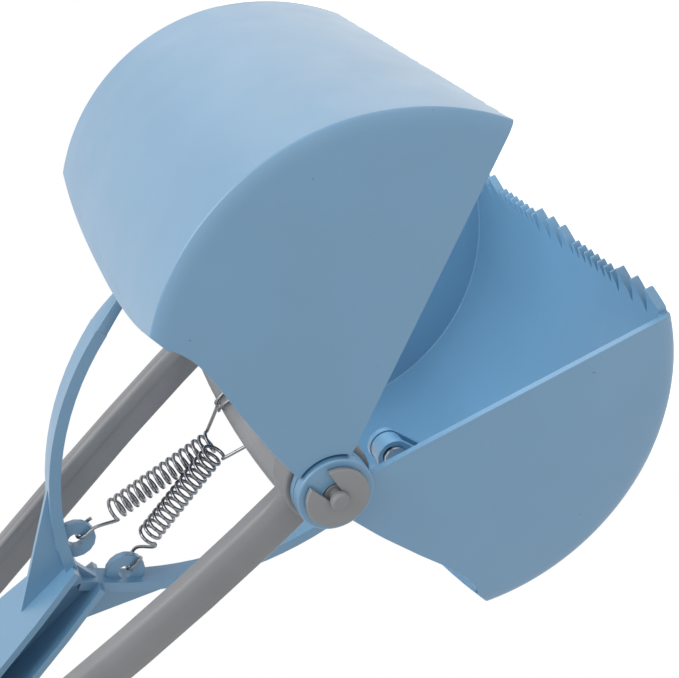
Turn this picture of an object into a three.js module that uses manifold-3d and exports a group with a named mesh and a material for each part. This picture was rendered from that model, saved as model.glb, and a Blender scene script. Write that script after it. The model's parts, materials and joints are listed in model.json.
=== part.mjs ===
// Spring-closed jaw scooper: two toothed scoops on one hinge line, worked by a finger pull in the grip.
// Millimetres. The finished group has +Z up the shaft, its hinge line along Y and its jaws opening along X.
// The origin is the top of the palm grip. The jaws are drawn half open.
// Points are drawn as (u, v, w): u towards the upper jaw, v up the shaft from the hinge line, w along it.
import * as THREE from 'three';
import { mergeVertices } from 'three/addons/utils/BufferGeometryUtils.js';
import Module from 'manifold-3d';

const wasm = await Module();
wasm.setup();

const radians = THREE.MathUtils.degToRad;

// Overall sizes
const jawWidth = 140;
const gripToHinge = 497;
const runningGap = 0.3;
const seatGap = 0.3;
const cutOverrun = 5;

// Jaws: each is a slice of a drum with rounded rims, cut by its mouth plane and its back edge
const restOpening = radians(22.3);
const shellRadius = 72.8;
const drumReach = 49.3;
const drumAngle = radians(27.3);
const jawWall = 2.4;
const shellWall = 3.2;
const rimRound = 3.2;
const lipAngle = radians(130);
const mouthGap = 0.3;
const backEdgeShares = [[1.033, -0.044], [0.931, -0.062], [0.716, -0.034], [0.508, 0.006], [0.194, 0.048]];

// Hinge ears: the lower jaw's lie outside the upper jaw's, which lie outside the frame's
const earRadius = 12.6;
const earBoss = 1.6;
const earPlate = 2.6;
const earStep = 0.35;
const earPadReach = 24;
const earPadLap = 0.4;
const earClearance = 0.8;
const frameEarRadius = 14.5;
const frameEarInner = 52.3;
const frameEarOuter = 63.9;
const frameEarRound = 1.2;

// Teeth on the front edges
const toothPitch = 4.25;
const bigToothTip = 12;
const bigToothRoot = 0.2;
const smallToothTip = 6.6;
const smallToothRoot = -0.6;
const toothFlat = 0.6;
const toothMeshGap = 1.2;
const toothLap = 0.6;
const toothShift = 2.1;
const toothCutDepth = 5.5;
const toothPlateDepth = 3.8;
const frontSectionDepth = 24;
const toothRowShares = [['big', 3], ['small', 7], ['big', 3], ['small', 7], ['big', 3]];
const bigPitchShare = 2;

// Fork arms of the pull rod, and the slotted brackets in the jaws
const armCurveRadius = 113.3;
const armFarU = 64.8;
const armCurveV = -5.2;
const armRootU = 0.4;
const armStepAngle = radians(12.5);
const armEndAngle = radians(6);
const armTipAngle = radians(-32.5);
const armEndRadius = 28;
const armWidth = 9;
const armThick = 4;
const armEndThick = 3.4;
const armLap = radians(1);
const eyeRadius = 6.2;
const eyeWidth = 5.2;
const armPinRadius = 2;
const armPinHead = 4.6;
const armPinHeadThick = 1.2;
const bracketPlate = 2.4;
const bracketPlay = 0.4;
const bracketRadius = 7.3;
const bracketLap = 1;
const slotPlay = 1.4;
const slotInward = 1.4;
const slotOutward = 11.2;

// Pull rod: an I-section that flares from the fork and narrows inside the grip
const rodDepth = 15;
const rodFlange = 2.4;
const rodWeb = 2.6;
const rodForkHalf = 8.5;
const rodFlareHalf = 17;
const rodHalf = 20;
const rodNeckHalf = 11;
const rodForkLap = 4.6;
const rodFlareMiddleRise = 30;
const rodFlareRise = 63;
const rodNeckStart = 380;
const rodNeckEnd = 396;
const rodEnd = 440;
const ribStart = 190;
const ribPitch = 36;
const ribCount = 6;
const ribThick = 1.6;
const ribInset = 1;
const gussetAngle = radians(38);
const gussetRise = 28;
const gussetThick = 2.5;
const gussetFacets = 6;
const lugRadius = 7.3;
const lugThick = 3;
const lugInset = 7.9;
const lugDrop = 7.5;
const lugHole = 2.7;

// Frame rails and crossbar
const railHingeW = 59;
const railTopW = 29;
const railBlend = 300;
const railHalfU = 8;
const railHalfW = 3.7;
const railEnd = 398;
const railSectionShares = [
  [-1, -0.3], [-0.92, -0.67], [-0.75, -0.82], [0.2, -0.82], [0.3, -1], [0.73, -1], [0.9, -0.82],
  [1, -0.3], [0.96, 0.34], [0.75, 0.82], [0.3, 1], [-0.3, 1], [-0.75, 0.82], [-0.96, 0.34],
];
const barHalfU = 6;
const barHalfV = 4.5;
const barV = 9.8;
const barBow = 3;
const barEndW = 56;
const barPowerShare = 3;

// Hinge pins and their horseshoe clips
const pinRadius = 4;
const pinInnerHead = 5.4;
const pinInnerHeadThick = 2.3;
const pinNeckRadius = 2.4;
const pinHeadRadius = 3.2;
const pinHeadThick = 2.2;
const clipRadius = 10.3;
const clipThick = 1.8;
const clipThroat = 4.4;
const clipMouth = 7.3;
const clipTurn = radians(-4);

// Springs: each has its own places, because they hang at different depths under the crossbar
const springRadius = 4.4;
const wireRadius = 0.65;
const springTurns = 15;
const springHookSteps = 16;
const springPhase = radians(135);
const springLugInset = 4;
const springLugDrop = 15.7;
const springLugW = 1.2;
const springBarRise = 18.2;
const upperSpringBarU = 2.7;
const upperSpringBarW = 3.9;
const lowerSpringBarU = 0.4;
const lowerSpringBarW = 6;
const upperHookW = 9;
const upperHookEndW = 5;
const lowerHookW = 12;
const lowerHookEndW = -2;
const barHookGap = 0.45;
const barHookTurnShares = [0.36, 0.45, 0.55, 0.65, 0.75, 0.86, 0.97, 1.08, 1.17];
const lugHookGap = 0.5;
const lugHookReach = 7;
const leastWireGap = 0.4;

// Rod guide: two plates clamped over the rails
const guideStart = 266;
const guideEnd = 292;
const guidePlate = 3;
const guideLip = 2.4;
const guideEar = 8;
const guideEarThick = 4;
const guidePad = 18;
const guideScrewInset = 4;

// Grip: a loop in two shells, with a rubber sleeve on its palm bar
const shellDepth = 13;
const shellRound = 3;
const footStart = 376;
const footHalf = 42;
const footFlare = 418;
const loopHalf = 46;
const loopStart = 402;
const loopEnd = 472;
const loopCorner = 8;
const legWidth = 13;
const palmBarTop = 495;
const palmCorner = 18;
const sleeveThick = 1.7;
const sleeveHalf = 37.5;
const sleeveRound = 5;
const shellScrewShares = [[0.64, 0.05], [0.89, 0.51], [0.83, 0.915]];
const gripScrewNames = ['foot', 'leg', 'palm'];

// Screws
const screwRadius = 1.6;
const screwHead = 3;
const screwHeadThick = 2;
const screwSeat = 2.6;
const screwFloor = 3.7;
const screwHole = screwRadius + seatGap;

// Finger pull
const pullHalf = 43;
const pullDepth = 11;
const pullStart = 431;
const pullEnd = 448;
const pullRound = 2.5;
const pullCorner = 5;
const scallopDepth = 3;
const scallopPitch = 16;
const scallopSteps = 5;
const scallopCount = 2;
const pullScrewW = 6;
const pullScrewV = 436.5;

// Facets
const drumFacets = 54;
const roundFacets = 24;
const smallRoundFacets = 12;
const filletFacets = 3;
const bevelFacets = 2;
const railStations = 14;
const barStations = 10;
const barFacets = 14;
const coilFacets = 8;
const wireFacets = 5;
const pinFacets = 18;
const outlineSteps = 8;
const mergeTolerance = 1e-4;

// Derived places
const halfWidth = jawWidth / 2;
const wallInner = halfWidth - jawWall;
const drumU = drumReach * Math.sin(drumAngle);
const drumV = -drumReach * Math.cos(drumAngle);
const armCurveU = armFarU - armCurveRadius;
const armRootAngle = Math.acos((armRootU - armCurveU) / armCurveRadius);
const rodStart = armCurveV + armCurveRadius * Math.sin(armRootAngle) - rodForkLap;
const rodFlareMiddle = rodStart + rodFlareMiddleRise;
const rodFlareEnd = rodStart + rodFlareRise;
const gussetEnd = rodStart + gussetRise;
const lugV = rodStart - lugDrop;
const lugU = armCurveU + Math.sqrt(armCurveRadius ** 2 - (lugV - armCurveV) ** 2) - lugInset;
const armEndU = armCurveU + (armCurveRadius - armEndRadius) * Math.cos(armEndAngle);
const armEndV = armCurveV + (armCurveRadius - armEndRadius) * Math.sin(armEndAngle);
const eyeU = armEndU + armEndRadius * Math.cos(armTipAngle);
const eyeV = armEndV + armEndRadius * Math.sin(armTipAngle);
const eyeReach = Math.hypot(eyeU, eyeV);
const drumAlongEye = (eyeU * drumU + eyeV * drumV) / eyeReach;
const bracketFar = drumAlongEye + Math.sqrt(shellRadius ** 2 - drumReach ** 2 + drumAlongEye ** 2) + bracketLap;
const pinHole = pinRadius + runningGap;

// A closed mesh as a solid, with its faces turned outwards

function toSolid(geometry) {
  const bare = geometry.clone();
  for (const name of Object.keys(bare.attributes)) {
    if (name !== 'position') {
      bare.deleteAttribute(name);
    }
  }
  const merged = mergeVertices(bare, mergeTolerance);
  const places = merged.attributes.position.array;
  const corners = [];
  for (let i = 0; i < merged.index.count; i += 3) {
    const [a, b, c] = [0, 1, 2].map((k) => merged.index.getX(i + k));
    if (a !== b && b !== c && a !== c) {
      corners.push(a, b, c);
    }
  }
  if (signedVolume(places, corners) < 0) {
    corners.reverse();
  }
  const mesh = new wasm.Mesh({
    numProp: 3,
    vertProperties: new Float32Array(places),
    triVerts: new Uint32Array(corners),
  });
  return new wasm.Manifold(mesh);
}

function signedVolume(places, corners) {
  const point = (i) => new THREE.Vector3().fromArray(places, 3 * i);
  let sum = 0;
  for (let i = 0; i < corners.length; i += 3) {
    sum += point(corners[i]).dot(point(corners[i + 1]).cross(point(corners[i + 2])));
  }
  return sum;
}

function toGeometry(solid) {
  const mesh = solid.getMesh();
  const geometry = new THREE.BufferGeometry();
  geometry.setAttribute('position', new THREE.BufferAttribute(new Float32Array(mesh.vertProperties), 3));
  geometry.setIndex(Array.from(mesh.triVerts));
  return geometry;
}

function joined(...solids) {
  return solids.reduce((sum, solid) => sum.add(solid));
}

function cut(solid, ...cutters) {
  return cutters.reduce((rest, cutter) => rest.subtract(cutter), solid);
}

function mirroredU(solid) {
  return toSolid(toGeometry(solid).scale(-1, 1, 1));
}

function mirroredW(solid) {
  return toSolid(toGeometry(solid).scale(1, 1, -1));
}

function bothEnds(solid) {
  return solid.add(mirroredW(solid));
}

// Flat outlines given thickness

function vector([x, y, z]) {
  return new THREE.Vector3(x, y, z);
}

function polygon(points) {
  return new THREE.Shape(points.map(([x, y]) => new THREE.Vector2(x, y)));
}

function rectangle(x0, x1, y0, y1) {
  return polygon([[x0, y0], [x1, y0], [x1, y1], [x0, y1]]);
}

function roundedRectangle(x0, x1, y0, y1, round) {
  const shape = new THREE.Shape();
  shape.absarc(x1 - round, y1 - round, round, 0, Math.PI / 2, false);
  shape.absarc(x0 + round, y1 - round, round, Math.PI / 2, Math.PI, false);
  shape.absarc(x0 + round, y0 + round, round, Math.PI, 1.5 * Math.PI, false);
  shape.absarc(x1 - round, y0 + round, round, -Math.PI / 2, 0, false);
  shape.closePath();
  return shape;
}

function disc(x, y, radius) {
  const shape = new THREE.Shape();
  shape.absarc(x, y, radius, 0, 2 * Math.PI, false);
  return shape;
}

// Two discs of one radius and the strip between them
function stadium(x0, y0, x1, y1, radius) {
  const turn = Math.atan2(y1 - y0, x1 - x0);
  const shape = new THREE.Shape();
  shape.absarc(x1, y1, radius, turn - Math.PI / 2, turn + Math.PI / 2, false);
  shape.absarc(x0, y0, radius, turn + Math.PI / 2, turn + 1.5 * Math.PI, false);
  shape.closePath();
  return shape;
}

function arcBand(x, y, radius, thick, from, to) {
  const shape = new THREE.Shape();
  shape.absarc(x, y, radius + thick / 2, from, to, false);
  shape.absarc(x, y, radius - thick / 2, to, from, true);
  shape.closePath();
  return shape;
}

function extruded(shape, from, to, round, facets) {
  const geometry = new THREE.ExtrudeGeometry(shape, {
    depth: to - from - 2 * round,
    bevelEnabled: round > 0,
    bevelThickness: round,
    bevelSize: round,
    bevelOffset: -round,
    bevelSegments: bevelFacets,
    curveSegments: facets,
  });
  geometry.translate(0, 0, from + round);
  return geometry;
}

// An outline in u and v, thick along w
function slab(shape, from, to, round = 0, facets = roundFacets / 2) {
  return toSolid(extruded(shape, from, to, round, facets));
}

// An outline in w and v, thick along u
function slabAcross(shape, from, to, round = 0, facets = smallRoundFacets / 4) {
  const turn = new THREE.Matrix4().makeBasis(vector([0, 0, 1]), vector([0, 1, 0]), vector([1, 0, 0]));
  return toSolid(extruded(shape, from, to, round, facets).applyMatrix4(turn));
}

// A round bar or hole along u
function rodAcross(w, v, radius, from, to) {
  return slabAcross(disc(w, v, radius), from, to, 0, smallRoundFacets / 2);
}

// A turned part on an axis along w through (u, v), from pairs of radius and w
function turned(profile, u = 0, v = 0, facets = roundFacets) {
  const points = profile.map(([radius, w]) => new THREE.Vector2(radius, w));
  const geometry = new THREE.LatheGeometry(points, facets);
  geometry.rotateX(Math.PI / 2);
  geometry.translate(u, v, 0);
  return toSolid(geometry);
}

// A solid through rings of points that all follow one outline
function loft(rings, outline) {
  const count = outline.length;
  const faces = [];
  for (let ring = 0; ring + 1 < rings.length; ring += 1) {
    for (let i = 0; i < count; i += 1) {
      const a = ring * count + i;
      const b = ring * count + ((i + 1) % count);
      faces.push(a, b, b + count, a, b + count, a + count);
    }
  }
  const last = (rings.length - 1) * count;
  for (const [a, b, c] of THREE.ShapeUtils.triangulateShape(outline, [])) {
    faces.push(c, b, a, last + a, last + b, last + c);
  }
  const geometry = new THREE.BufferGeometry();
  const places = rings.flat().flatMap((point) => point.toArray());
  geometry.setAttribute('position', new THREE.Float32BufferAttribute(places, 3));
  geometry.setIndex(faces);
  return toSolid(geometry);
}

// Jaw shell

function drum(radius, half, round) {
  const profile = [[0, -half]];
  for (const side of [-1, 1]) {
    for (let i = 0; i <= filletFacets; i += 1) {
      const share = side < 0 ? i / filletFacets : 1 - i / filletFacets;
      const angle = (share * Math.PI) / 2;
      profile.push([radius - round + round * Math.sin(angle), side * (half - round + round * Math.cos(angle))]);
    }
  }
  profile.push([0, half]);
  return turned(profile, drumU, drumV, drumFacets);
}

function drumPoint(angle, radius) {
  return [drumU + radius * Math.sin(angle), drumV - radius * Math.cos(angle)];
}

function mouthPoint(reach, inward) {
  const along = Math.sin(restOpening);
  const down = Math.cos(restOpening);
  return [reach * along + inward * down, -reach * down + inward * along];
}

// The front corner, where the mouth plane meets the outside of the drum
const cornerShift = Math.sin(drumAngle - restOpening) * drumReach;
const cornerReach = Math.cos(drumAngle - restOpening) * drumReach + Math.sqrt(shellRadius ** 2 - cornerShift ** 2);
const [cornerU, cornerV] = mouthPoint(cornerReach, 0);
const cornerTurn = Math.atan2(cornerU - drumU, drumV - cornerV);

// Side outline: mouth plane, round the drum to the lip, then the back edge home to the hinge
function jawOutline() {
  const shape = new THREE.Shape();
  shape.moveTo(...mouthPoint(0, mouthGap));
  shape.lineTo(...mouthPoint(cornerReach + cutOverrun, mouthGap));
  const step = (lipAngle - cornerTurn) / outlineSteps;
  for (let i = 1; i <= outlineSteps; i += 1) {
    shape.lineTo(...drumPoint(cornerTurn + step * i, (shellRadius + cutOverrun) / Math.cos(step / 2)));
  }
  shape.lineTo(...drumPoint(lipAngle, shellRadius - shellWall));
  shape.splineThru(backEdgeShares.map(([u, v]) => new THREE.Vector2(u * shellRadius, v * shellRadius)));
  shape.lineTo(0, earRadius / 3);
  return shape;
}

function jawShell() {
  const outer = drum(shellRadius, halfWidth, rimRound);
  const inner = drum(shellRadius - shellWall, wallInner, rimRound - jawWall);
  return cut(outer, inner).intersect(slab(jawOutline(), -halfWidth - cutOverrun, halfWidth + cutOverrun));
}

// Teeth: drawn in w and along the drum's tangent at the front corner, thick outwards from the drum

const tangentPast = [-Math.cos(cornerTurn), -Math.sin(cornerTurn), 0];
const tangentOut = [Math.sin(cornerTurn), -Math.cos(cornerTurn), 0];

function atCorner(geometry, ...axes) {
  const turn = new THREE.Matrix4().makeBasis(...axes.map(vector)).setPosition(cornerU, cornerV, 0);
  return toSolid(geometry.applyMatrix4(turn));
}

function onFront(shape, depth) {
  const geometry = extruded(shape, -depth, cutOverrun, 0, roundFacets);
  return atCorner(geometry, [0, 0, 1], tangentPast, tangentOut);
}

// The wall's section at the front corner, drawn out along the tangent
function frontWall(reach) {
  const sections = [
    roundedRectangle(-halfWidth, halfWidth, -frontSectionDepth, 0, rimRound),
    roundedRectangle(-wallInner, wallInner, -frontSectionDepth, -shellWall, rimRound - jawWall),
  ];
  const [outer, inner] = sections.map(
    (section) => atCorner(extruded(section, -reach, reach, 0, filletFacets), [0, 0, 1], tangentOut, tangentPast),
  );
  return cut(outer, inner);
}

// Tips and roots of the lower jaw's front edge, as pairs of w and height
function toothLine() {
  const pitch = { big: toothPitch * bigPitchShare, small: toothPitch };
  const tip = { big: bigToothTip, small: smallToothTip };
  const root = { big: bigToothRoot, small: smallToothRoot };
  const span = toothRowShares.reduce((sum, [kind, count]) => sum + pitch[kind] * count, 0);
  const line = [];
  let w = toothShift - span / 2;
  for (const [kind, count] of toothRowShares) {
    for (let i = 0; i < count; i += 1) {
      const middle = w + pitch[kind] / 2;
      line.push([w, -root[kind]], [middle - toothFlat / 2, tip[kind]], [middle + toothFlat / 2, tip[kind]]);
      w += pitch[kind];
    }
  }
  line.push([w, -bigToothRoot]);
  return line;
}

function withTeeth(jaw, line) {
  const reach = 2 * bigToothTip;
  const from = line[0][0];
  const to = line[line.length - 1][0];
  const notches = onFront(polygon([[from, reach], ...line, [to, reach]]), toothCutDepth);
  const comb = onFront(polygon([[from, -reach], ...line, [to, -reach]]), toothPlateDepth);
  const front = onFront(rectangle(from, to, -toothLap, reach), toothPlateDepth);
  return cut(jaw, notches).add(comb.intersect(front).intersect(frontWall(reach)));
}

// Two slotted cheeks that the fork arm's pin drives
function armBracket() {
  const inside = eyeWidth / 2 + bracketPlay;
  const onLine = (reach) => [(eyeU * reach) / eyeReach, (eyeV * reach) / eyeReach];
  const cheekOutline = stadium(eyeU, eyeV, ...onLine(bracketFar), bracketRadius);
  const slotRadius = armPinRadius + slotPlay;
  const slotOutline = stadium(...onLine(eyeReach - slotInward), ...onLine(eyeReach + slotOutward), slotRadius);
  const cheek = slab(cheekOutline, inside, inside + bracketPlate, 0, smallRoundFacets / 3);
  const slot = slab(slotOutline, 0, inside + bracketPlate + cutOverrun, 0, smallRoundFacets / 3);
  const socket = drum(shellRadius - shellWall / 2, wallInner, rimRound - jawWall);
  return bothEnds(cut(cheek.intersect(socket), slot));
}

// The upper jaw's ears step inwards, so that they run inside the lower jaw's
function upperJaw() {
  const plateOuter = wallInner - earStep;
  const plateInner = plateOuter - earPlate;
  const padFrom = plateOuter - earPadLap;
  const padTo = wallInner + earPadLap;
  const innerRing = (reach) => disc(0, 0, reach);
  const relief = slab(innerRing(earRadius + earClearance), plateOuter, halfWidth + cutOverrun);
  const plate = slab(innerRing(earRadius), plateInner, plateOuter);
  const sectorDisc = slab(innerRing(earPadReach), plateInner, plateOuter);
  const sector = slab(jawOutline(), plateInner, plateOuter).intersect(sectorDisc);
  const padDisc = slab(innerRing(earPadReach), padFrom, padTo);
  const padHole = slab(innerRing(earRadius + earClearance), padFrom - cutOverrun, padTo + cutOverrun);
  const pad = cut(slab(jawOutline(), padFrom, padTo).intersect(padDisc), padHole);
  const hole = slab(innerRing(pinHole), plateInner - cutOverrun, halfWidth + cutOverrun);
  const shell = cut(jawShell(), relief, mirroredW(relief));
  const body = cut(joined(shell, bothEnds(joined(plate, sector, pad)), armBracket()), hole, mirroredW(hole));
  return withTeeth(body, toothLine().map(([w, height]) => [w, -height - toothMeshGap]));
}

function lowerJaw() {
  const ear = slab(disc(0, 0, earRadius), wallInner, halfWidth + earBoss);
  const hole = slab(disc(0, 0, pinHole), wallInner - cutOverrun, halfWidth + earBoss + cutOverrun);
  const body = cut(joined(jawShell(), bothEnds(ear), armBracket()), hole, mirroredW(hole));
  return mirroredU(withTeeth(body, toothLine()));
}

// Frame: two rails, the crossbar and the hinge ears

function railW(v) {
  const share = Math.min(v / railBlend, 1);
  return railTopW + ((railHingeW - railTopW) * (1 + Math.cos(Math.PI * share))) / 2;
}

function railSlope(v) {
  const share = Math.min(v / railBlend, 1);
  return (-(railHingeW - railTopW) * Math.PI * Math.sin(Math.PI * share)) / (2 * railBlend);
}

// A rail between two heights, with its section grown all round by the given amount
function rail(from, to, stations, grow = 0) {
  const outline = railSectionShares.map(
    ([x, y]) => new THREE.Vector2(x * (railHalfU + grow), y * (railHalfW + grow)),
  );
  const rings = [];
  for (let i = 0; i <= stations; i += 1) {
    const v = from + ((to - from) * i) / stations;
    const slope = railSlope(v);
    const long = Math.hypot(1, slope);
    rings.push(outline.map(({ x, y }) => vector([x, v - (y * slope) / long, railW(v) + y / long])));
  }
  return loft(rings, outline);
}

// A rounded section between an ellipse and a rectangle
function roundish(halfX, halfY, count) {
  const bend = (value) => Math.sign(value) * Math.abs(value) ** (2 / barPowerShare);
  const outline = [];
  for (let i = 0; i < count; i += 1) {
    const angle = (2 * Math.PI * (i + 0.5)) / count;
    outline.push(new THREE.Vector2(halfX * bend(Math.cos(angle)), halfY * bend(Math.sin(angle))));
  }
  return outline;
}

function barCentre(w) {
  return barV + barBow * (1 - (w / barEndW) ** 2);
}

function crossbar() {
  const outline = roundish(barHalfU, barHalfV, barFacets);
  const rings = [];
  for (let i = 0; i <= barStations; i += 1) {
    const w = barEndW * ((2 * i) / barStations - 1);
    rings.push(outline.map(({ x, y }) => vector([x, barCentre(w) + y, w])));
  }
  return loft(rings, outline);
}

function frameRails() {
  const ear = slab(disc(0, 0, frameEarRadius), frameEarInner, frameEarOuter, frameEarRound);
  const hole = slab(disc(0, 0, pinHole), frameEarInner - cutOverrun, frameEarOuter + cutOverrun);
  const sides = bothEnds(joined(rail(0, railEnd, railStations), ear));
  return cut(joined(sides, crossbar()), hole, mirroredW(hole));
}

// Hinge pins and clips

const clipInner = halfWidth + earBoss + seatGap;
const clipOuter = clipInner + clipThick;

function hingePin() {
  const headStart = clipOuter + seatGap;
  const headEnd = headStart + pinHeadThick;
  const innerHeadEnd = frameEarInner - seatGap;
  const crown = pinHeadThick / 3;
  return turned([
    [0, innerHeadEnd - pinInnerHeadThick],
    [pinInnerHead, innerHeadEnd - pinInnerHeadThick],
    [pinInnerHead, innerHeadEnd],
    [pinRadius, innerHeadEnd],
    [pinRadius, clipInner - seatGap],
    [pinNeckRadius, clipInner - seatGap],
    [pinNeckRadius, headStart],
    [pinHeadRadius, headStart],
    [pinHeadRadius, headEnd - crown],
    [pinHeadRadius - crown, headEnd],
    [0, headEnd],
  ], 0, 0, pinFacets);
}

function hingeClip() {
  const ring = slab(disc(0, 0, clipRadius), clipInner, clipOuter, clipThick / 6);
  const hole = slab(disc(0, 0, pinNeckRadius + seatGap), clipInner - cutOverrun, clipOuter + cutOverrun);
  const out = clipRadius + cutOverrun;
  const wide = clipThroat + ((clipMouth - clipThroat) * out) / clipRadius;
  const wedge = [[0, -clipThroat / 2], [out, -wide / 2], [out, wide / 2], [0, clipThroat / 2]];
  const turn = ([x, y]) => [
    x * Math.cos(clipTurn) - y * Math.sin(clipTurn),
    x * Math.sin(clipTurn) + y * Math.cos(clipTurn),
  ];
  return cut(ring, hole, slab(polygon(wedge.map(turn)), clipInner - cutOverrun, clipOuter + cutOverrun));
}

// Pull rod

function armPoint(angle) {
  return [armCurveU + armCurveRadius * Math.cos(angle), armCurveV + armCurveRadius * Math.sin(angle)];
}

function forkArm() {
  const endHalf = eyeWidth / 2;
  const sweep = (thick, from, to) => arcBand(armCurveU, armCurveV, armCurveRadius, thick, from, to);
  const bend = arcBand(armEndU, armEndV, armEndRadius, armEndThick, armTipAngle, armEndAngle + armLap);
  const mainOutline = sweep(armThick, armStepAngle, armRootAngle);
  const main = slab(mainOutline, -armWidth / 2, armWidth / 2, 0, roundFacets / 3);
  const neck = slab(sweep(armEndThick, armEndAngle, armStepAngle + armLap), -endHalf, endHalf, 0, roundFacets / 8);
  const tip = slab(bend, -endHalf, endHalf, 0, roundFacets / 4);
  const eye = slab(disc(eyeU, eyeV, eyeRadius), -endHalf, endHalf, 0, roundFacets / 3);
  const eyeHole = slab(disc(eyeU, eyeV, armPinRadius + seatGap), -armWidth, armWidth, 0, smallRoundFacets / 2);
  const gusset = slab(gussetOutline(), -gussetThick / 2, gussetThick / 2);
  const lug = slab(disc(lugU, lugV, lugRadius), -lugThick / 2, lugThick / 2, lugThick / 6, roundFacets / 3);
  const hole = slab(disc(lugU, lugV, lugHole), -lugThick, lugThick, 0, smallRoundFacets / 2);
  return cut(joined(main, neck, tip, eye, gusset, lug), eyeHole, hole);
}

function gussetOutline() {
  const points = [];
  for (let i = 0; i <= gussetFacets; i += 1) {
    points.push(armPoint(gussetAngle + ((armRootAngle - gussetAngle) * i) / gussetFacets));
  }
  points.push([0, gussetEnd], [rodDepth / 2 - rodFlange / 2, gussetEnd]);
  return polygon(points);
}

function flangeOutline() {
  const shape = new THREE.Shape();
  shape.moveTo(-rodForkHalf, rodStart);
  shape.lineTo(rodForkHalf, rodStart);
  shape.quadraticCurveTo(rodFlareHalf, rodFlareMiddle, rodHalf, rodFlareEnd);
  shape.lineTo(rodHalf, rodNeckStart);
  shape.lineTo(rodNeckHalf, rodNeckEnd);
  shape.lineTo(rodNeckHalf, rodEnd);
  shape.lineTo(-rodNeckHalf, rodEnd);
  shape.lineTo(-rodNeckHalf, rodNeckEnd);
  shape.lineTo(-rodHalf, rodNeckStart);
  shape.lineTo(-rodHalf, rodFlareEnd);
  shape.quadraticCurveTo(-rodFlareHalf, rodFlareMiddle, -rodForkHalf, rodStart);
  return shape;
}

function pullRod() {
  const outer = rodDepth / 2;
  const flange = slabAcross(flangeOutline(), outer - rodFlange, outer);
  const web = slabAcross(rectangle(-rodWeb / 2, rodWeb / 2, rodStart, rodEnd), -outer + ribInset, outer - ribInset);
  const ribs = [];
  for (let i = 0; i < ribCount; i += 1) {
    const v = ribStart + ribPitch * i;
    const across = rectangle(-rodHalf + ribInset, rodHalf - ribInset, v, v + ribThick);
    ribs.push(slabAcross(across, -outer + ribInset, outer - ribInset));
  }
  const arm = forkArm();
  const hole = rodAcross(pullScrewW, pullScrewV, screwHole, -rodDepth, rodDepth);
  return cut(joined(flange, mirroredU(flange), web, ...ribs, arm, mirroredU(arm)), hole, mirroredW(hole));
}

function armPin() {
  const inner = eyeWidth / 2 + bracketPlay + bracketPlate + runningGap;
  const half = inner + armPinHeadThick;
  return turned([
    [0, -half],
    [armPinHead, -half],
    [armPinHead, -inner],
    [armPinRadius, -inner],
    [armPinRadius, inner],
    [armPinHead, inner],
    [armPinHead, half],
    [0, half],
  ], eyeU, eyeV, smallRoundFacets);
}

// Springs: a coil with one hook through the lug and the other round the crossbar, in one wire

const springPlaces = {
  upper: { side: 1, barU: upperSpringBarU, barW: -upperSpringBarW, hookW: -upperHookW, endW: -upperHookEndW },
  lower: { side: -1, barU: lowerSpringBarU, barW: lowerSpringBarW, hookW: lowerHookW, endW: lowerHookEndW },
};

function springLine({ side, barU, barW, hookW, endW }) {
  const lugEnd = vector([side * (lugU - springLugInset), lugV - springLugDrop, -side * springLugW]);
  const barEnd = vector([-barU, barV + springBarRise, barW]);
  const coil = coilPoints(lugEnd, barEnd, side);
  const first = lugHook(side, coil[0], coil[1]);
  const last = barHook(side, hookW, endW, coil[coil.length - 1], coil[coil.length - 2]);
  return straightEnds([...first, ...coil, ...last.reverse()]);
}

function coilPoints(start, end, side) {
  const axis = end.clone().sub(start).normalize();
  const across = vector([0, 0, 1]).cross(axis).normalize();
  const up = axis.clone().cross(across);
  const radius = springRadius - wireRadius;
  const steps = springTurns * coilFacets;
  const points = [];
  for (let i = 0; i <= steps; i += 1) {
    const angle = springPhase + side * ((2 * Math.PI * i) / coilFacets);
    const place = start.clone().lerp(end, i / steps);
    place.addScaledVector(across, radius * Math.cos(angle)).addScaledVector(up, radius * Math.sin(angle));
    points.push(place);
  }
  return points;
}

// Points of a smooth bend that leads into the coil, without the coil's own end points
function leadIn(points, coilEnd, coilNext) {
  const curve = new THREE.CatmullRomCurve3([...points, coilEnd, coilNext]);
  const stop = points.length / (points.length + 1);
  const bend = [];
  for (let i = 0; i < springHookSteps; i += 1) {
    bend.push(curve.getPoint((stop * i) / springHookSteps));
  }
  return bend;
}

// Free end past one face of the lug, through its hole, and back past the other face to the coil
function lugHook(side, coilEnd, coilNext) {
  const stand = side * (lugThick / 2 + wireRadius + lugHookGap);
  const hole = lugHole - wireRadius - lugHookGap;
  const v = lugV - hole;
  const point = (along, down, w) => vector([side * (lugU - along), v - down, w]);
  const bend = coilEnd.clone().add(vector([side * wireRadius, 2 * wireRadius, 0]));
  return leadIn([
    point(wireRadius, lugHookReach, -stand),
    point(0, lugHookReach / 2, -stand),
    point(0, 0, -stand / 2),
    point(0, 0, stand / 2),
    point(wireRadius, lugHookReach / 3, stand),
    point(2 * wireRadius, lugHookReach, stand),
    bend,
  ], coilEnd, coilNext);
}

// Free end beside the crossbar, round it and back to the coil
function barHook(side, hookW, endW, coilEnd, coilNext) {
  const grow = barHookGap + wireRadius;
  const bend = (value) => Math.sign(value) * Math.abs(value) ** (2 / barPowerShare);
  const points = barHookTurnShares.map((turnShare, i) => {
    const angle = 2 * Math.PI * turnShare;
    const w = endW + ((hookW - endW) * i) / (barHookTurnShares.length - 1);
    const u = side * (barHalfU + grow) * bend(Math.cos(angle));
    return vector([u, barCentre(w) + (barHalfV + grow) * bend(Math.sin(angle)), w]);
  });
  return leadIn(points, coilEnd, coilNext);
}

// The wire's two ends run straight for one wire diameter
function straightEnds(points) {
  const beyond = (end, next) => end.clone().add(end.clone().sub(next).setLength(2 * wireRadius));
  const last = points.length - 1;
  return [beyond(points[0], points[1]), ...points, beyond(points[last], points[last - 1])];
}

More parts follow.
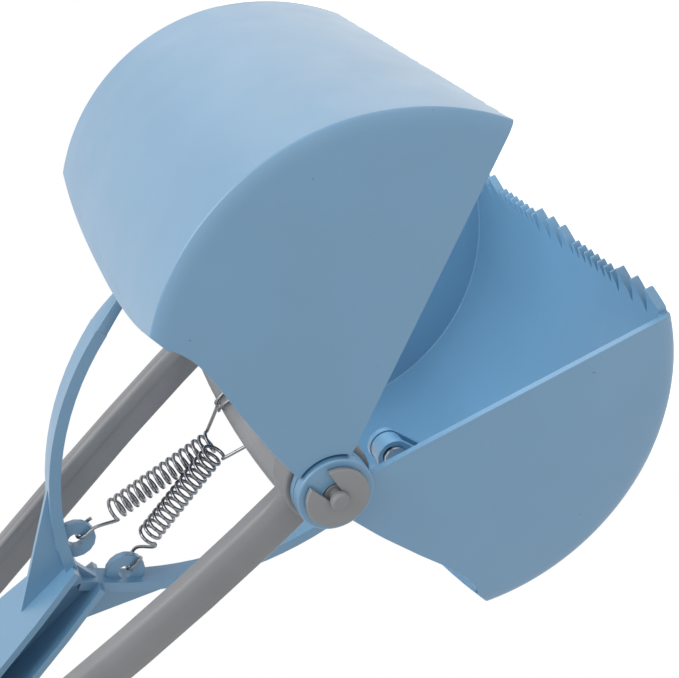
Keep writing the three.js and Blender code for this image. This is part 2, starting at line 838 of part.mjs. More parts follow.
function wire(points) {
  const places = [];
  const faces = [];
  const tangentAt = (i) => {
    const before = points[Math.max(i - 1, 0)];
    return points[Math.min(i + 1, points.length - 1)].clone().sub(before).normalize();
  };
  let normal = vector([1, 0, 0]).cross(tangentAt(0)).normalize();
  points.forEach((point, i) => {
    const tangent = tangentAt(i);
    normal = normal.clone().addScaledVector(tangent, -normal.dot(tangent)).normalize();
    const side = tangent.clone().cross(normal);
    for (let k = 0; k < wireFacets; k += 1) {
      const angle = (2 * Math.PI * k) / wireFacets;
      const place = point.clone().addScaledVector(normal, wireRadius * Math.cos(angle));
      places.push(...place.addScaledVector(side, wireRadius * Math.sin(angle)).toArray());
    }
    for (let k = 0; k < wireFacets && i > 0; k += 1) {
      const a = (i - 1) * wireFacets + k;
      const b = (i - 1) * wireFacets + ((k + 1) % wireFacets);
      faces.push(a, b, b + wireFacets, a, b + wireFacets, a + wireFacets);
    }
  });
  const last = (points.length - 1) * wireFacets;
  for (let k = 1; k + 1 < wireFacets; k += 1) {
    faces.push(0, k + 1, k, last, last + k, last + k + 1);
  }
  const geometry = new THREE.BufferGeometry();
  geometry.setAttribute('position', new THREE.Float32BufferAttribute(places, 3));
  geometry.setIndex(faces);
  return toSolid(geometry);
}

// Least gap between parts of the wire that don't follow each other
function wireGap(points) {
  const apart = coilFacets / 2;
  let least = Infinity;
  for (let i = 0; i < points.length; i += 1) {
    for (let j = i + apart + 1; j < points.length; j += 1) {
      least = Math.min(least, points[i].distanceTo(points[j]));
    }
  }
  return least - 2 * wireRadius;
}

function spring(place) {
  const line = springLine(place);
  const gap = wireGap(line);
  console.log(`least gap in the spring wire ${gap.toFixed(2)} mm`);
  if (gap < leastWireGap) {
    throw new Error('the spring wire runs too close to itself');
  }
  return wire(line);
}

// Rod guide

const guideRailW = railW(guideStart) + railHalfW + seatGap;
const guideHalf = guideRailW + guideLip;
const guideScrewW = guideHalf + guideScrewInset;
const guideScrewV = (guideStart + guideEnd) / 2;

function rodGuide() {
  const inner = railHalfU + seatGap;
  const outer = inner + guidePlate;
  const plate = slabAcross(rectangle(-guideHalf, guideHalf, guideStart, guideEnd), inner, outer);
  const pad = slabAcross(rectangle(-guidePad, guidePad, guideStart, guideEnd), rodDepth / 2 + runningGap, outer);
  const lip = slabAcross(rectangle(guideRailW, guideHalf, guideStart, guideEnd), seatGap / 2, outer);
  const earShape = rectangle(guideRailW, guideHalf + guideEar, guideStart, guideEnd);
  const ear = slabAcross(earShape, seatGap / 2, seatGap / 2 + guideEarThick);
  const hole = rodAcross(guideScrewW, guideScrewV, screwHole, -outer, outer);
  return cut(joined(plate, pad, bothEnds(joined(lip, ear))), hole, mirroredW(hole));
}

function screw(w, v, headStart, end) {
  const headEnd = headStart + screwHeadThick;
  const crown = screwHeadThick / 4;
  const profile = [
    [0, end],
    [screwRadius, end],
    [screwRadius, headStart],
    [screwHead, headStart],
    [screwHead, headEnd - crown],
    [screwHead - crown, headEnd],
    [0, headEnd],
  ];
  const geometry = new THREE.LatheGeometry(profile.map(([x, y]) => new THREE.Vector2(x, y)), smallRoundFacets);
  geometry.rotateZ(-Math.PI / 2);
  geometry.translate(0, v, w);
  return toSolid(geometry);
}

function guideScrew() {
  return screw(guideScrewW, guideScrewV, seatGap / 2 + guideEarThick + seatGap, -guideEarThick);
}

// Grip

function loopOutline() {
  const outerHalf = loopHalf + legWidth;
  const flareV = (footStart + footFlare) / 2;
  const shape = new THREE.Shape();
  shape.moveTo(-footHalf, footStart);
  shape.lineTo(footHalf, footStart);
  shape.bezierCurveTo(footHalf, flareV, outerHalf, flareV, outerHalf, footFlare);
  shape.absarc(outerHalf - palmCorner, palmBarTop - palmCorner, palmCorner, 0, Math.PI / 2, false);
  shape.absarc(palmCorner - outerHalf, palmBarTop - palmCorner, palmCorner, Math.PI / 2, Math.PI, false);
  shape.lineTo(-outerHalf, footFlare);
  shape.bezierCurveTo(-outerHalf, flareV, -footHalf, flareV, -footHalf, footStart);
  shape.holes.push(roundedRectangle(-loopHalf, loopHalf, loopStart, loopEnd, loopCorner));
  return shape;
}

function gripScrewPlaces() {
  return shellScrewShares.map(([across, up]) => [
    across * (loopHalf + legWidth),
    footStart + (palmBarTop - footStart) * up,
  ]);
}

function gripShell(front) {
  const body = slabAcross(loopOutline(), -shellDepth, shellDepth, shellRound);
  const socket = rail(footStart - cutOverrun, railEnd + seatGap, 1, seatGap);
  const slotHalf = rodHalf + 2 * runningGap;
  const slotDepth = rodDepth / 2 + 2 * runningGap;
  const rodSlot = slabAcross(
    rectangle(-slotHalf, slotHalf, footStart - cutOverrun, loopStart + cutOverrun),
    -slotDepth,
    slotDepth,
  );
  const holes = gripScrewPlaces().flatMap(([w, v]) => [
    rodAcross(w, v, screwHole, -shellDepth + screwFloor, shellDepth + cutOverrun),
    rodAcross(w, v, screwHead + seatGap, shellDepth - screwSeat, shellDepth + cutOverrun),
  ]);
  const whole = cut(body, socket, mirroredW(socket), rodSlot, ...holes, ...holes.map(mirroredW));
  const wide = loopHalf + legWidth + cutOverrun;
  const half = rectangle(-wide, wide, footStart - cutOverrun, palmBarTop + cutOverrun);
  const from = front ? seatGap / 2 : -shellDepth - cutOverrun;
  const to = front ? shellDepth + cutOverrun : -seatGap / 2;
  return whole.intersect(slabAcross(half, from, to));
}

function gripScrews() {
  const head = shellDepth - screwSeat + seatGap;
  return gripScrewPlaces().map(([w, v]) => screw(w, v, head, -shellDepth + screwFloor + seatGap));
}

function palmSleeve() {
  const inner = shellDepth + seatGap;
  const outer = inner + sleeveThick;
  const skin = sleeveThick + seatGap;
  const full = roundedRectangle(-outer, outer, loopEnd - skin, palmBarTop + skin, sleeveRound);
  const bore = roundedRectangle(-inner, inner, loopEnd - seatGap, palmBarTop + seatGap, shellRound);
  const sleeve = slab(full, -sleeveHalf, sleeveHalf, sleeveThick / 2, smallRoundFacets / 4);
  return cut(sleeve, slab(bore, -sleeveHalf - cutOverrun, sleeveHalf + cutOverrun, 0, smallRoundFacets / 4));
}

// Finger pull

function pullOutline() {
  const shoulder = pullHalf - scallopPitch * scallopCount;
  const lower = [];
  for (let i = 0; i <= scallopSteps * scallopCount; i += 1) {
    const along = (scallopPitch * i) / scallopSteps;
    lower.push([shoulder + along, pullStart + scallopDepth * Math.sin((Math.PI * along) / scallopPitch) ** 2]);
  }
  const shape = polygon([...lower.map(([w, v]) => [-w, v]).reverse(), ...lower]);
  shape.absarc(pullHalf - pullCorner, pullEnd - pullCorner, pullCorner, 0, Math.PI / 2, false);
  shape.absarc(pullCorner - pullHalf, pullEnd - pullCorner, pullCorner, Math.PI / 2, Math.PI, false);
  shape.closePath();
  return shape;
}

function fingerPull() {
  const pocketHalf = rodNeckHalf + seatGap;
  const pocketDepth = rodDepth / 2 + seatGap;
  const pocket = slabAcross(
    rectangle(-pocketHalf, pocketHalf, pullStart - cutOverrun, rodEnd + seatGap),
    -pocketDepth,
    pocketDepth,
  );
  const holes = [-pullScrewW, pullScrewW].flatMap((w) => [
    rodAcross(w, pullScrewV, screwHole, -pullDepth + 2 * seatGap, pullDepth + cutOverrun),
    rodAcross(w, pullScrewV, screwHead + seatGap, pullDepth - screwSeat, pullDepth + cutOverrun),
  ]);
  return cut(slabAcross(pullOutline(), -pullDepth, pullDepth, pullRound), pocket, ...holes);
}

function pullScrew() {
  return screw(pullScrewW, pullScrewV, pullDepth - screwSeat + seatGap, -pullDepth + 3 * seatGap);
}

// Materials and the finished group

const blue = { color: 0x5f93c4, roughness: 0.42, metalness: 0 };
const gray = { color: 0x7c8086, roughness: 0.5, metalness: 0 };
const darkGray = { color: 0x63666b, roughness: 0.5, metalness: 0 };
const rubber = { color: 0x2c3a4a, roughness: 0.85, metalness: 0 };
const steel = { color: 0xa9acb0, roughness: 0.28, metalness: 1 };

const scooper = new THREE.Group();

function addPiece(name, solid, material) {
  const geometry = toGeometry(solid);
  geometry.rotateX(Math.PI / 2);
  geometry.translate(0, 0, -gripToHinge);
  geometry.computeVertexNormals();
  const mesh = new THREE.Mesh(geometry, new THREE.MeshStandardMaterial(material));
  mesh.name = name;
  scooper.add(mesh);
}

// A piece at the near side and its mirror image at the far side
function addPair(name, solid, material) {
  addPiece(`${name}_near`, solid, material);
  addPiece(`${name}_far`, mirroredW(solid), material);
}

const frontGuide = rodGuide();
const upperPin = armPin();

addPiece('frame_rails', frameRails(), gray);
addPair('hinge_pin', hingePin(), gray);
addPair('hinge_clip', hingeClip(), darkGray);
addPiece('upper_jaw', upperJaw(), blue);
addPiece('lower_jaw', lowerJaw(), blue);
addPiece('pull_rod', pullRod(), blue);
addPiece('upper_arm_pin', upperPin, steel);
addPiece('lower_arm_pin', mirroredU(upperPin), steel);
addPiece('spring_upper', spring(springPlaces.upper), steel);
addPiece('spring_lower', spring(springPlaces.lower), steel);
addPiece('rod_guide_front', frontGuide, gray);
addPiece('rod_guide_back', mirroredU(frontGuide), gray);
addPair('guide_screw', guideScrew(), steel);
addPiece('handle_front_shell', gripShell(true), gray);
addPiece('handle_back_shell', gripShell(false), gray);
gripScrews().forEach((solid, i) => addPair(`handle_screw_${gripScrewNames[i]}`, solid, steel));
addPiece('palm_grip', palmSleeve(), rubber);
addPiece('finger_trigger', fingerPull(), blue);
addPair('trigger_screw', pullScrew(), steel);

export default scooper;
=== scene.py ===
import json
import math

import bmesh
import bpy
import numpy as np
from mathutils import Matrix, Vector


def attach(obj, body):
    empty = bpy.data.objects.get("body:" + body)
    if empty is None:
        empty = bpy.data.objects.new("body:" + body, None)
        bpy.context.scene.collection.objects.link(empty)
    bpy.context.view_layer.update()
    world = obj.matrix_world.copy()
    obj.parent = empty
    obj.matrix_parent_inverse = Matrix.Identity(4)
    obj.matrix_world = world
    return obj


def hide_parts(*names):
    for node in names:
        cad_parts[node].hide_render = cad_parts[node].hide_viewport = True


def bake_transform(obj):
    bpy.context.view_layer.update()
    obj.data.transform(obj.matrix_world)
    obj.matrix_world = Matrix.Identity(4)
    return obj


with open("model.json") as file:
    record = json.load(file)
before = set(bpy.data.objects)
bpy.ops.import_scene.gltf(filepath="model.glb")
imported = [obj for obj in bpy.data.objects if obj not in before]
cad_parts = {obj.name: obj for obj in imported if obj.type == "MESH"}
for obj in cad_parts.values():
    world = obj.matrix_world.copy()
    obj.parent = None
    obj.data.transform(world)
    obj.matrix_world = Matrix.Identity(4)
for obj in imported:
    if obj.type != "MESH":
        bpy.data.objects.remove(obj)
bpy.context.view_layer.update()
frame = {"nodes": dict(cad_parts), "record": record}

scene = bpy.context.scene

# Points are worked out in millimetres as (u, v, w): u towards the upper jaw, v up the shaft
# from the hinge line, w along it. The row frame is (u, -w, v - GRIP_TO_HINGE) in metres.
GRIP_TO_HINGE = 497.0
MM_PER_M = 1000.0
U, W = 0, 2


def row(u, v, w):
    return Vector((u, -w, v - GRIP_TO_HINGE)) / MM_PER_M


# Camera, fitted to the hinge line, the jaws' outlines and the teeth

IMAGE_WIDTH = 679.0
FOCAL_PIXELS = 1236.8
SENSOR_WIDTH = 36.0
CLIP_NEAR, CLIP_FAR = 0.01, 50.0
CAMERA_PLACE = row(235.9, -61.9, 364.1)
CAMERA_RIGHT = Vector((-0.6205, -0.3559, -0.6988)).normalized()
CAMERA_FORWARD = Vector((-0.5561, 0.8280, 0.0722)).normalized()


def make_camera():
    data = bpy.data.cameras.new("camera")
    data.sensor_width = SENSOR_WIDTH
    data.lens = FOCAL_PIXELS / IMAGE_WIDTH * SENSOR_WIDTH
    data.clip_start = CLIP_NEAR
    data.clip_end = CLIP_FAR
    camera = bpy.data.objects.new("camera", data)
    scene.collection.objects.link(camera)
    forward = CAMERA_FORWARD
    right = (CAMERA_RIGHT - CAMERA_RIGHT.dot(forward) * forward).normalized()
    up = right.cross(forward)
    turn = Matrix((right, up, -forward)).transposed().to_4x4()
    camera.matrix_world = Matrix.Translation(CAMERA_PLACE) @ turn
    scene.camera = camera


make_camera()


# Materials. Noise scales are per metre, and bump heights are in metres.

BLACK, WHITE = (0.0, 0.0, 0.0), (1.0, 1.0, 1.0)
NOISE_ROUGHNESS = 0.55
MIX_FACTOR, MIX_A, MIX_B, MIX_RESULT = 0, 6, 7, 2   # the colour sockets of a mix node
FLECK_FROM, FLECK_FULL = 0.80, 0.84                 # noise levels at which a dark fleck starts and is full
FLECK_SHADE = 0.45
GLOSS_SPREAD = 0.05
COAT_ROUGHNESS = 0.4


def set_inputs(made, values):
    for key, value in values.items():
        made.inputs[key].default_value = value
    return made


def add_node(tree, kind, values):
    return set_inputs(tree.nodes.new(kind), values)


def new_material(name):
    material = bpy.data.materials.new(name)
    material.use_nodes = True
    tree = material.node_tree
    return material, tree, tree.nodes["Principled BSDF"]


def object_place(tree):
    return tree.nodes.new("ShaderNodeTexCoord").outputs["Object"]


def noise(tree, scale, detail):
    values = {"Scale": scale, "Detail": detail, "Roughness": NOISE_ROUGHNESS}
    made = add_node(tree, "ShaderNodeTexNoise", values)
    tree.links.new(object_place(tree), made.inputs["Vector"])
    return made.outputs["Fac"]


def ramp(tree, source, *stops):
    """Two stops, each a level of the source and a colour."""
    made = tree.nodes.new("ShaderNodeValToRGB")
    for element, (level, colour) in zip(made.color_ramp.elements, stops):
        element.position = level
        element.color = (*colour, 1.0)
    tree.links.new(source, made.inputs["Fac"])
    return made.outputs["Color"]


def shade(colour, factor):
    return tuple(min(1.0, part * factor) for part in colour)


def clouds(tree, source, colour, *stops):
    """The colour in soft clouds. Each stop is a level of the source and a factor on the colour."""
    return ramp(tree, source, *[(level, shade(colour, factor)) for level, factor in stops])


def uneven_roughness(tree, shader, source, levels, result):
    names = ("From Min", "From Max", "To Min", "To Max")
    gloss = add_node(tree, "ShaderNodeMapRange", dict(zip(names, levels + result)))
    tree.links.new(source, gloss.inputs["Value"])
    tree.links.new(gloss.outputs["Result"], shader.inputs["Roughness"])


def uneven_surface(tree, shader, source, strength, distance):
    bump = add_node(tree, "ShaderNodeBump", {"Strength": strength, "Distance": distance})
    tree.links.new(source, bump.inputs["Height"])
    tree.links.new(bump.outputs["Normal"], shader.inputs["Normal"])


def moulded(name, colour, rough, grain=0.03, mottle=0.05, specular=0.5, coat=0.0):
    """Moulded plastic: faint clouds, a few dark flecks, satin roughness and a fine grain."""
    material, tree, shader = new_material(name)
    wide_noise = noise(tree, scale=28.0, detail=3.0)
    cloud = clouds(tree, wide_noise, colour, (0.3, 1.0 - mottle), (0.7, 1.0 + mottle))
    flecks = ramp(tree, noise(tree, scale=420.0, detail=1.0), (FLECK_FROM, BLACK), (FLECK_FULL, WHITE))
    mix = tree.nodes.new("ShaderNodeMix")
    mix.data_type = "RGBA"
    tree.links.new(flecks, mix.inputs[MIX_FACTOR])
    tree.links.new(cloud, mix.inputs[MIX_A])
    mix.inputs[MIX_B].default_value = (*shade(colour, FLECK_SHADE), 1.0)
    tree.links.new(mix.outputs[MIX_RESULT], shader.inputs["Base Color"])
    spread = (rough - GLOSS_SPREAD, rough + GLOSS_SPREAD)
    uneven_roughness(tree, shader, noise(tree, scale=60.0, detail=5.0), (0.3, 0.7), spread)
    uneven_surface(tree, shader, noise(tree, scale=1500.0, detail=2.0), grain, distance=0.001)
    set_inputs(shader, {"Specular IOR Level": specular, "Coat Weight": coat, "Coat Roughness": COAT_ROUGHNESS})
    return material


def metal(name, colour, rough):
    """Plated wire or turned steel: cloudy brightness, uneven polish and fine drawing marks."""
    material, tree, shader = new_material(name)
    tone = clouds(tree, noise(tree, scale=240.0, detail=4.0), colour, (0.3, 0.82), (0.72, 1.1))
    tree.links.new(tone, shader.inputs["Base Color"])
    spread = (rough * 0.6, rough * 1.5)
    uneven_roughness(tree, shader, noise(tree, scale=700.0, detail=3.0), (0.0, 1.0), spread)
    marks = noise(tree, scale=2600.0, detail=2.0)
    uneven_surface(tree, shader, marks, strength=0.05, distance=0.0005)
    set_inputs(shader, {"Metallic": 1.0})
    return material


def rubbery(name, colour, rough):
    """Soft rubber: matt, with a pebbled skin."""
    material, tree, shader = new_material(name)
    cloud = clouds(tree, noise(tree, scale=90.0, detail=4.0), colour, (0.3, 0.85), (0.7, 1.2))
    tree.links.new(cloud, shader.inputs["Base Color"])
    pebbles = add_node(tree, "ShaderNodeTexVoronoi", {"Scale": 700.0})
    tree.links.new(object_place(tree), pebbles.inputs["Vector"])
    uneven_surface(tree, shader, pebbles.outputs["Distance"], strength=0.35, distance=0.0006)
    set_inputs(shader, {"Roughness": rough, "Specular IOR Level": 0.35})
    return material


MATERIALS = {
    "blue_plastic": moulded("blue_plastic", (0.108, 0.248, 0.395), rough=0.45, grain=0.015,
                            mottle=0.03, specular=0.8, coat=0.7),
    "gray_frame": moulded("gray_frame", (0.205, 0.207, 0.214), rough=0.46, mottle=0.08),
    "gray_clip": moulded("gray_clip", (0.235, 0.235, 0.238), rough=0.42),
    "spring_steel": metal("spring_steel", (0.26, 0.265, 0.28), rough=0.24),
    "steel_pin": metal("steel_pin", (0.55, 0.56, 0.57), rough=0.32),
    "grip_rubber": rubbery("grip_rubber", (0.035, 0.05, 0.075), rough=0.75),
}

SLOT_OF = {part["node"]: part["material_slot"] for part in frame["record"]["subparts"]}


def dress(obj, slot):
    obj.data.materials.clear()
    obj.data.materials.append(MATERIALS[slot])


# Meshes in millimetres, (u, v, w)

SIDE_AXES = np.eye(3)


def new_object(name, points, faces):
    mesh = bpy.data.meshes.new(name)
    points = [tuple(map(float, point)) for point in points]
    mesh.from_pydata(points, [], [tuple(map(int, face)) for face in faces])
    mesh.validate()
    made = bpy.data.objects.new(name, mesh)
    scene.collection.objects.link(made)
    clean(made)
    return made


def clean(obj, weld=0.0, flat=0.0):
    """Welds points closer than weld, joins faces within flat degrees, and turns the faces outwards."""
    work = bmesh.new()
    work.from_mesh(obj.data)
    if weld > 0.0:
        bmesh.ops.remove_doubles(work, verts=work.verts, dist=weld)
    if flat > 0.0:
        bmesh.ops.dissolve_limit(work, angle_limit=math.radians(flat), verts=work.verts, edges=work.edges)
    bmesh.ops.recalc_face_normals(work, faces=work.faces)
    work.to_mesh(obj.data)
    work.free()


def prism(name, outline, low, high, axes=SIDE_AXES):
    """An outline in the first two axes, thick along the third, from low to high."""
    count = len(outline)
    points = [x * axes[0] + y * axes[1] + z * axes[2] for z in (low, high) for x, y in outline]
    faces = [tuple(range(count))[::-1], tuple(range(count, 2 * count))]
    faces += [(i, (i + 1) % count, count + (i + 1) % count, count + i) for i in range(count)]
    return new_object(name, points, faces)


def revolve(name, profile, segments):
    """A profile of (radius, w) turned round the hinge line. It starts and ends on that line."""
    turns = [2 * math.pi * k / segments for k in range(segments)]
    points = [(0.0, 0.0, profile[0][1])]
    for radius, w in profile[1:-1]:
        points += [(radius * math.cos(turn), radius * math.sin(turn), w) for turn in turns]
    points.append((0.0, 0.0, profile[-1][1]))
    last = len(points) - 1
    steps = [(k, (k + 1) % segments) for k in range(segments)]
    faces = [(0, 1 + k, 1 + n) for k, n in steps]
    for a in range(1, last - segments, segments):
        b = a + segments
        faces += [(a + k, b + k, b + n, a + n) for k, n in steps]
    a = last - segments
    faces += [(a + k, last, a + n) for k, n in steps]
    return new_object(name, points, faces)


def loft(name, rings):
    """Closed skin through rings of equal length, with a flat end at each end."""
    count = len(rings[0])
    points = [point for ring in rings for point in ring]
    faces = [tuple(range(count))[::-1], tuple(range(len(points) - count, len(points)))]
    for r in range(len(rings) - 1):
        for i in range(count):
            a, b = r * count + i, r * count + (i + 1) % count
            faces.append((a, b, b + count, a + count))
    return new_object(name, points, faces)


def apply_modifiers(obj):
    bpy.context.view_layer.update()
    done = obj.evaluated_get(bpy.context.evaluated_depsgraph_get())
    mesh = bpy.data.meshes.new_from_object(done)
    old = obj.data
    obj.modifiers.clear()
    obj.data = mesh
    bpy.data.meshes.remove(old)


def combine(base, tool, how):
    """Joins, cuts or trims the base with the tool, which is used up."""
    cut = base.modifiers.new("cut", "BOOLEAN")
    cut.operation = how
    cut.solver = "MANIFOLD"
    cut.object = tool
    apply_modifiers(base)
    mesh = tool.data
    bpy.data.objects.remove(tool)
    bpy.data.meshes.remove(mesh)
    return base


def flip(obj, axis):
    """Mirrors a mesh across 0 on the axis U or W."""
    scale = [1.0, 1.0, 1.0]
    scale[axis] = -1.0
    obj.data.transform(Matrix.Diagonal((*scale, 1.0)))
    obj.data.flip_normals()
    return obj


def far_copy(obj):
    """The same mesh at the other end of the hinge line."""
    made = bpy.data.objects.new(obj.name + "_far", obj.data.copy())
    scene.collection.objects.link(made)
    return flip(made, W)


def both_ends(base, tool, how):
    other = far_copy(tool)
    combine(base, tool, how)
    combine(base, other, how)


def to_row(obj):
    """Millimetres in (u, v, w) to metres in the row frame."""
    k = 1.0 / MM_PER_M
    obj.data.transform(Matrix(((k, 0, 0, 0), (0, 0, -k, 0), (0, k, 0, -GRIP_TO_HINGE * k), (0, 0, 0, 1))))
    return obj


BEVEL_SEGMENTS = 2
SHARP = 34.0          # degrees, for the jaws and the CAD nodes
ROUND_SHARP = 50.0    # degrees, for wires and tapers


def add_bevel(obj, width, angle):
    """Softens the edges sharper than the angle. The width is in millimetres."""
    edge = obj.modifiers.new("edge", "BEVEL")
    edge.width = width / MM_PER_M
    edge.segments = BEVEL_SEGMENTS
    edge.limit_method = "ANGLE"
    edge.angle_limit = math.radians(angle)
    return edge


def shade_smooth(obj, sharp):
    for polygon in obj.data.polygons:
        polygon.use_smooth = True
    obj.data.set_sharp_from_angle(angle=math.radians(sharp))


def weigh_normals(obj):
    normals = obj.modifiers.new("normals", "WEIGHTED_NORMAL")
    normals.keep_sharp = True


def finish_piece(obj, slot, body, *nodes):
    dress(obj, slot)
    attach(obj, body)
    if nodes:
        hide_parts(*nodes)


# Outlines

STADIUM_STEPS = 20


def arc(x, y, radius, start, stop, steps):
    """Points of an arc, with its angles in degrees."""
    turns = np.radians(np.linspace(start, stop, steps + 1))
    return [(x + radius * math.cos(turn), y + radius * math.sin(turn)) for turn in turns]


def disc(radius, steps=64):
    return arc(0, 0, radius, 0.0, 360.0 * (steps - 1) / steps, steps - 1)


def stadium(x0, y0, x1, y1, radius):
    turn = math.degrees(math.atan2(y1 - y0, x1 - x0))
    return (arc(x1, y1, radius, turn - 90, turn + 90, STADIUM_STEPS)
            + arc(x0, y0, radius, turn + 90, turn + 270, STADIUM_STEPS))


def round_box(x0, x1, y0, y1, r, steps):
    return (arc(x1 - r, y1 - r, r, 0, 90, steps) + arc(x0 + r, y1 - r, r, 90, 180, steps)
            + arc(x0 + r, y0 + r, r, 180, 270, steps) + arc(x1 - r, y0 + r, r, 270, 360, steps))


def through(points, steps):
    """A smooth line through the points."""
    points = np.array(points, float)
    last = len(points) - 1
    line = []
    for i in range(last):
        a, b, c, d = (points[min(max(i + k, 0), last)] for k in (-1, 0, 1, 2))
        for t in np.arange(steps) / steps:
            line.append(0.5 * (2 * b + (c - a) * t + (2 * a - 5 * b + 4 * c - d) * t**2
                               + (3 * b - a - 3 * c + d) * t**3))
    line.append(points[-1])
    return line


# Jaw shells. Both jaws are made on the upper side of the shaft, and the lower one is flipped
# over at the end. The drum's angles start from straight down the shaft: the mouth's front
# corner is at about 19 degrees, and the lip at the back at LIP_ANGLE.

HALF_WIDTH = 70.0
WALL = 2.4
WALL_INNER = HALF_WIDTH - WALL
SHELL_WALL = 3.2
SHELL_RADIUS = 72.6
DRUM_REACH = 49.3
DRUM_ANGLE = math.radians(27.3)
DRUM_U = DRUM_REACH * math.sin(DRUM_ANGLE)
DRUM_V = -DRUM_REACH * math.cos(DRUM_ANGLE)
DRUM_SEGMENTS = 240
RIM = (5.5, 1.5)            # corner of shell and wall: radii across the drum and along it
INNER_RIM = (0.5, 0.5)
RIM_STEPS = 9
SWELL_FROM = math.radians(54.0)
SWELL_SPAN = math.radians(34.0)
SWELL_MOST_SHARE = 1.05
SWELL_WRAP = math.pi / 3    # angles are taken from -SWELL_WRAP upwards
UPPER_SWELL = 2.3
LOWER_SWELL = 1.2

LIP_ANGLE = math.radians(131.0)
LIP_DROP = math.radians(6.3)
LIP_POWER = 2.5
LIP_POINTS = 25
LIP_BEYOND = 2.0
LIP_TOP = 30.0
LIP_CUT = (56.0, 110.0)     # from and to, along u
LIP_AXES = np.array([(0, 0, 1), (0, 1, 0), (1, 0, 0)], float)

OPENING = math.radians(22.3)
MOUTH_GAP = 0.2
MOUTH_SPARE = 14.0          # shell kept beyond the mouth, for the teeth
MOUTH_AXES = np.array([     # across the jaw, out of the mouth, and along it
    (0.0, 0.0, 1.0),
    (-math.cos(OPENING), -math.sin(OPENING), 0.0),
    (math.sin(OPENING), -math.cos(OPENING), 0.0),
])
MOUTH_CUT = (-40.0, 150.0)  # from and to, along the mouth
BEYOND_WALLS = 80.0
BEYOND_TEETH = 30.0

OUTLINE_MARGIN = 12.0
OUTLINE_START = math.radians(6.0)
OUTLINE_PAST_LIP = math.radians(14.0)
OUTLINE_STEPS = 12
LIP_CORNER = (67.0, 8.5)
BACK_EDGE = [
    (75.2, -3.2), (67.8, -4.5), (60.0, -3.9), (52.1, -2.5), (44.9, -1.0), (37.0, 0.4), (26.2, 2.2), (14.1, 3.5),
]
BACK_STEPS = 6
HINGE_EDGE = (0.0, 4.2)


def drum_point(angle, radius):
    return (DRUM_U + radius * math.sin(angle), DRUM_V - radius * math.cos(angle))


def mouth_point(reach, inward):
    along, down = math.sin(OPENING), math.cos(OPENING)
    return (reach * along + inward * down, -reach * down + inward * along)


def swell(angle, most):
    """How far the shell stands out of the drum's circle near the mouth."""
    angle = (angle + SWELL_WRAP) % (2 * math.pi) - SWELL_WRAP
    share = min(max((SWELL_FROM - angle) / SWELL_SPAN, 0.0), SWELL_MOST_SHARE)
    return most * share**2


def drum(name, radius, half, rim, most):
    """A drum between -half and half along w, with rounded rims and the given swell."""
    radial, axial = rim
    turns = [math.pi / 2 * i / RIM_STEPS for i in range(RIM_STEPS + 1)]
    profile = [(radius - radial + radial * math.sin(t), -(half - axial + axial * math.cos(t))) for t in turns]
    profile += [(r, -w) for r, w in reversed(profile)]
    angles = [2 * math.pi * k / DRUM_SEGMENTS for k in range(DRUM_SEGMENTS)]
    return loft(name, [[(*drum_point(angle, r + swell(angle, most)), w) for angle in angles] for r, w in profile])


def jaw_outline(mouth=MOUTH_GAP):
    """A side wall's outline, kept outside the shell, from the mouth round to the lip and the back edge."""
    reach = SHELL_RADIUS + DRUM_REACH + OUTLINE_MARGIN
    points = [mouth_point(0.0, mouth), mouth_point(reach, mouth)]
    step = (LIP_ANGLE + OUTLINE_PAST_LIP - OUTLINE_START) / OUTLINE_STEPS
    radius = (SHELL_RADIUS + OUTLINE_MARGIN) / math.cos(step / 2)
    points += [drum_point(OUTLINE_START + step * i, radius) for i in range(1, OUTLINE_STEPS + 1)]
    back = [tuple(point) for point in through(BACK_EDGE, BACK_STEPS)]
    return points + [LIP_CORNER] + back + [HINGE_EDGE]


def lip_height(w):
    """The lip is bowed: highest in the middle and lower at the side walls."""
    angle = LIP_ANGLE - LIP_DROP * (abs(w) / HALF_WIDTH) ** LIP_POWER
    return DRUM_V - SHELL_RADIUS * math.cos(angle)


def lip_cutter():
    ends = np.linspace(-HALF_WIDTH - LIP_BEYOND, HALF_WIDTH + LIP_BEYOND, LIP_POINTS)
    outline = [(w, lip_height(w)) for w in ends] + [(ends[-1], LIP_TOP), (ends[0], LIP_TOP)]
    return prism("lip", outline, *LIP_CUT, LIP_AXES)


def cut_mouth(jaw, line):
    """Cuts the mouth flat across the side walls, and along the line of (w, height) at the front."""
    edge = [(-BEYOND_WALLS, -MOUTH_GAP)] + line + [(BEYOND_WALLS, -MOUTH_GAP)]
    edge += [(BEYOND_WALLS, BEYOND_TEETH), (-BEYOND_WALLS, BEYOND_TEETH)]
    return combine(jaw, prism("mouth", edge, *MOUTH_CUT, MOUTH_AXES), "DIFFERENCE")


def jaw_shell(name, most, line):
    shell = drum(name, SHELL_RADIUS, HALF_WIDTH, RIM, most)
    combine(shell, drum("inner", SHELL_RADIUS - SHELL_WALL, WALL_INNER, INNER_RIM, most), "DIFFERENCE")
    combine(shell, prism("side", jaw_outline(-MOUTH_SPARE), -BEYOND_WALLS, BEYOND_WALLS), "INTERSECT")
    combine(shell, lip_cutter(), "DIFFERENCE")
    return cut_mouth(shell, line)


# Teeth of the lower jaw, and the pockets that take them in the upper one

TEETH = {
    "big": {"pitch": 8.5, "tip": 8.2, "root": 3.3},
    "small": {"pitch": 4.25, "tip": 4.0, "root": 1.6},
}
TOOTH_ROW = [("big", 3), ("small", 7), ("big", 3), ("small", 7), ("big", 3)]
TOOTH_START, TOOTH_END = -68.5, 67.0
TOOTH_END_HEIGHT = 2.0      # of the last tooth, which the row's end cuts off
TOOTH_END_STEP = 0.01
TOOTH_FLAT = 0.6
TOOTH_LEAN = 0.42
TOOTH_MESH_GAP = 1.2

